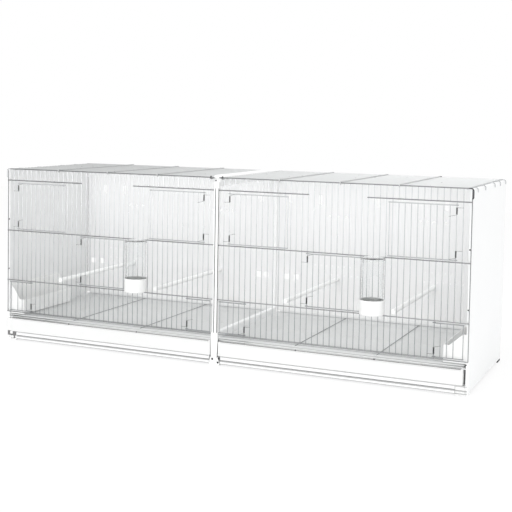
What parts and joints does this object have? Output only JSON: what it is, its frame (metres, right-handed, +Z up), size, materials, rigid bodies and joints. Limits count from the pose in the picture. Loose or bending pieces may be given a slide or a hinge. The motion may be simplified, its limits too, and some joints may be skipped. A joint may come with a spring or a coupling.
{
  "type": "bird breeding cage",
  "caption": "Wire-front bird breeding cage with side-by-side cabins, sprung nest, centre and feeder doors, slide-out trays and grates, perches, troughs and drinkers.",
  "frame": {"origin": "on the floor, under the middle of the bounding box", "axes": "+X along the front to the right cabin, +Y from the wire front to the back, +Z up"},
  "size_m": [1.2, 0.457, 0.45],
  "materials": {
    "panel_plastic": "satin white moulded plastic",
    "chrome_wire": "bright plated steel wire",
    "grey_wire": "dull galvanised wire",
    "spring_steel": "dark spring wire",
    "white_plastic": "smooth white plastic",
    "clear_plastic": "clear plastic",
    "dark_plastic": "dark grey plastic"
  },
  "bodies": {
    "cage": {"left_end_panel": "panel_plastic", "left_back_panel": "panel_plastic", "left_back_base_rail": "panel_plastic", "left_front_base_rail": "panel_plastic", "left_front_foot": "dark_plastic", "left_rear_foot": "dark_plastic", "left_front_grid": "chrome_wire", "left_roof_grid": "chrome_wire", "left_perch_1": "white_plastic", "left_perch_2": "white_plastic", "left_drinker_cup": "white_plastic", "left_seed_trough": "white_plastic", "left_nest_door_1_lower_spring": "spring_steel", "left_nest_door_1_upper_spring": "spring_steel", "left_nest_door_2_lower_spring": "spring_steel", "left_nest_door_2_upper_spring": "spring_steel", "left_centre_door_lower_spring": "spring_steel", "left_centre_door_upper_spring": "spring_steel", "left_feeder_door_1_lower_spring": "spring_steel", "left_feeder_door_2_lower_spring": "spring_steel", "right_end_panel": "panel_plastic", "right_back_panel": "panel_plastic", "right_back_base_rail": "panel_plastic", "right_front_base_rail": "panel_plastic", "right_front_foot": "dark_plastic", "right_rear_foot": "dark_plastic", "right_front_grid": "chrome_wire", "right_roof_grid": "chrome_wire", "right_perch_1": "white_plastic", "right_perch_2": "white_plastic", "right_drinker_cup": "white_plastic", "right_seed_trough": "white_plastic", "right_nest_door_1_lower_spring": "spring_steel", "right_nest_door_1_upper_spring": "spring_steel", "right_nest_door_2_lower_spring": "spring_steel", "right_nest_door_2_upper_spring": "spring_steel", "right_centre_door_lower_spring": "spring_steel", "right_centre_door_upper_spring": "spring_steel", "right_feeder_door_1_lower_spring": "spring_steel", "right_feeder_door_2_lower_spring": "spring_steel", "centre_base_rail": "panel_plastic", "centre_frame": "panel_plastic", "centre_front_foot": "dark_plastic", "centre_rear_foot": "dark_plastic"},
    "left_nest_door_1": {"left_nest_door_1": "chrome_wire"},
    "left_nest_door_2": {"left_nest_door_2": "chrome_wire"},
    "left_centre_door": {"left_centre_door": "chrome_wire"},
    "left_feeder_door_1": {"left_feeder_door_1": "chrome_wire"},
    "left_feeder_door_2": {"left_feeder_door_2": "chrome_wire"},
    "left_tray": {"left_tray": "white_plastic"},
    "left_grate": {"left_grate": "grey_wire"},
    "left_drinker_tube": {"left_drinker_tube": "clear_plastic"},
    "right_nest_door_1": {"right_nest_door_1": "chrome_wire"},
    "right_nest_door_2": {"right_nest_door_2": "chrome_wire"},
    "right_centre_door": {"right_centre_door": "chrome_wire"},
    "right_feeder_door_1": {"right_feeder_door_1": "chrome_wire"},
    "right_feeder_door_2": {"right_feeder_door_2": "chrome_wire"},
    "right_tray": {"right_tray": "white_plastic"},
    "right_grate": {"right_grate": "grey_wire"},
    "right_drinker_tube": {"right_drinker_tube": "clear_plastic"}
  },
  "joints": [
    {"name": "left_nest_door_1_hinge", "type": "hinge", "parent": "cage", "child": "left_nest_door_1", "pos_m": [-0.56665, -0.1715, 0.2927], "axis": [0, 0, -1], "range_deg": [0, 90], "stiffness_Nm_per_rad": 0.01, "springref_deg": -20.05},
    {"name": "left_nest_door_2_hinge", "type": "hinge", "parent": "cage", "child": "left_nest_door_2", "pos_m": [-0.03335, -0.1715, 0.2927], "axis": [0, 0, 1], "range_deg": [0, 90], "stiffness_Nm_per_rad": 0.01, "springref_deg": -20.05},
    {"name": "left_centre_door_hinge", "type": "hinge", "parent": "cage", "child": "left_centre_door", "pos_m": [-0.37521, -0.1715, 0.1628], "axis": [0, 0, -1], "range_deg": [0, 90], "stiffness_Nm_per_rad": 0.01, "springref_deg": -20.05},
    {"name": "left_feeder_door_1_hinge", "type": "hinge", "parent": "cage", "child": "left_feeder_door_1", "pos_m": [-0.52563, -0.1715, 0.0795], "axis": [0, 0, 1], "range_deg": [0, 90], "stiffness_Nm_per_rad": 0.01, "springref_deg": -20.05},
    {"name": "left_feeder_door_2_hinge", "type": "hinge", "parent": "cage", "child": "left_feeder_door_2", "pos_m": [-0.07437, -0.1715, 0.0795], "axis": [0, 0, -1], "range_deg": [0, 90], "stiffness_Nm_per_rad": 0.01, "springref_deg": -20.05},
    {"name": "left_tray_slide", "type": "slide", "parent": "cage", "child": "left_tray", "axis": [0, -1, 0], "range_m": [0, 0.3]},
    {"name": "left_grate_slide", "type": "slide", "parent": "cage", "child": "left_grate", "axis": [0, -1, 0], "range_m": [0, 0.3]},
    {"name": "left_drinker_tube_lift", "type": "slide", "parent": "cage", "child": "left_drinker_tube", "axis": [0, 0, 1], "range_m": [0, 0.045]},
    {"name": "right_nest_door_1_hinge", "type": "hinge", "parent": "cage", "child": "right_nest_door_1", "pos_m": [0.034, -0.1715, 0.2927], "axis": [0, 0, -1], "range_deg": [0, 90], "stiffness_Nm_per_rad": 0.01, "springref_deg": -20.05},
    {"name": "right_nest_door_2_hinge", "type": "hinge", "parent": "cage", "child": "right_nest_door_2", "pos_m": [0.566, -0.1715, 0.2927], "axis": [0, 0, 1], "range_deg": [0, 90], "stiffness_Nm_per_rad": 0.01, "springref_deg": -20.05},
    {"name": "right_centre_door_hinge", "type": "hinge", "parent": "cage", "child": "right_centre_door", "pos_m": [0.23, -0.1715, 0.1628], "axis": [0, 0, -1], "range_deg": [0, 90], "stiffness_Nm_per_rad": 0.01, "springref_deg": -20.05},
    {"name": "right_feeder_door_1_hinge", "type": "hinge", "parent": "cage", "child": "right_feeder_door_1", "pos_m": [0.076, -0.1715, 0.0795], "axis": [0, 0, 1], "range_deg": [0, 90], "stiffness_Nm_per_rad": 0.01, "springref_deg": -20.05},
    {"name": "right_feeder_door_2_hinge", "type": "hinge", "parent": "cage", "child": "right_feeder_door_2", "pos_m": [0.524, -0.1715, 0.0795], "axis": [0, 0, -1], "range_deg": [0, 90], "stiffness_Nm_per_rad": 0.01, "springref_deg": -20.05},
    {"name": "right_tray_slide", "type": "slide", "parent": "cage", "child": "right_tray", "axis": [0, -1, 0], "range_m": [0, 0.3]},
    {"name": "right_grate_slide", "type": "slide", "parent": "cage", "child": "right_grate", "axis": [0, -1, 0], "range_m": [0, 0.3]},
    {"name": "right_drinker_tube_lift", "type": "slide", "parent": "cage", "child": "right_drinker_tube", "axis": [0, 0, 1], "range_m": [0, 0.045]}
  ]
}
